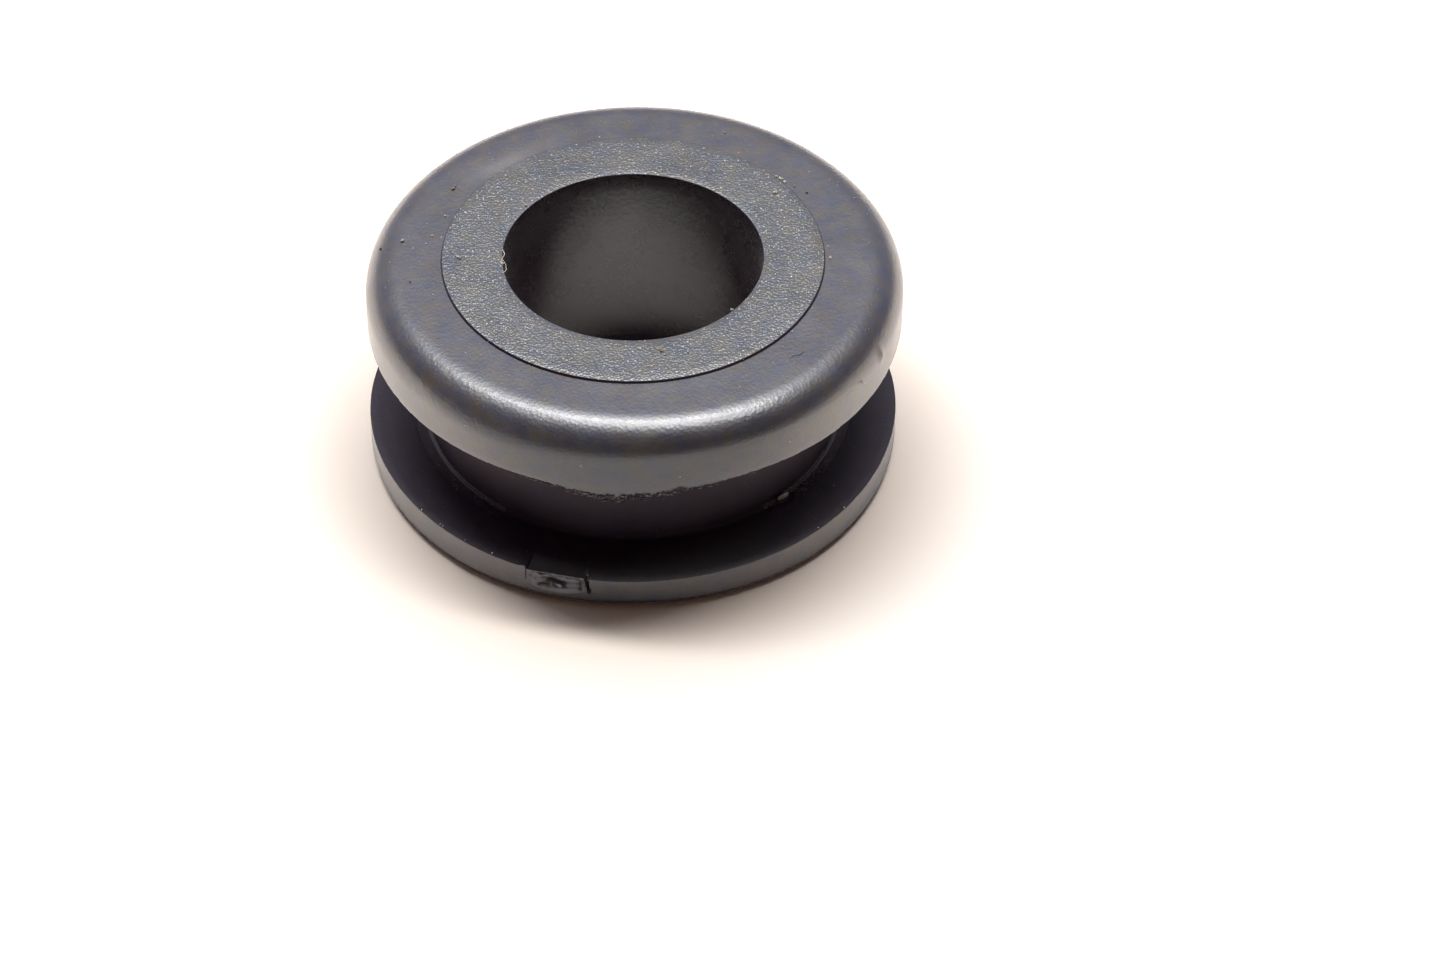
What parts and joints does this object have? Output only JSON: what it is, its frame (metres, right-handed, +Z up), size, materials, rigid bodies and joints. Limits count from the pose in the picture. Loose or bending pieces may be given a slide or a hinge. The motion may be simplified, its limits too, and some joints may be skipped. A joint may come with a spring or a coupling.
{
  "type": "rubber tank mount",
  "caption": "Round moulded rubber grommet with a thick and a thin flange, a neck groove for a bracket's hole and a straight bore for a peg.",
  "frame": {"origin": "middle of the face that the mount stands on, on the bore's axis", "axes": "+Z up along the bore"},
  "size_m": [0.03, 0.03, 0.0129],
  "materials": {
    "rubber": "black moulded rubber, satin on the flanges, with a fine spark-eroded grain on the lands"
  },
  "bodies": {
    "root": {"tank_mount": "rubber"}
  },
  "joints": []
}
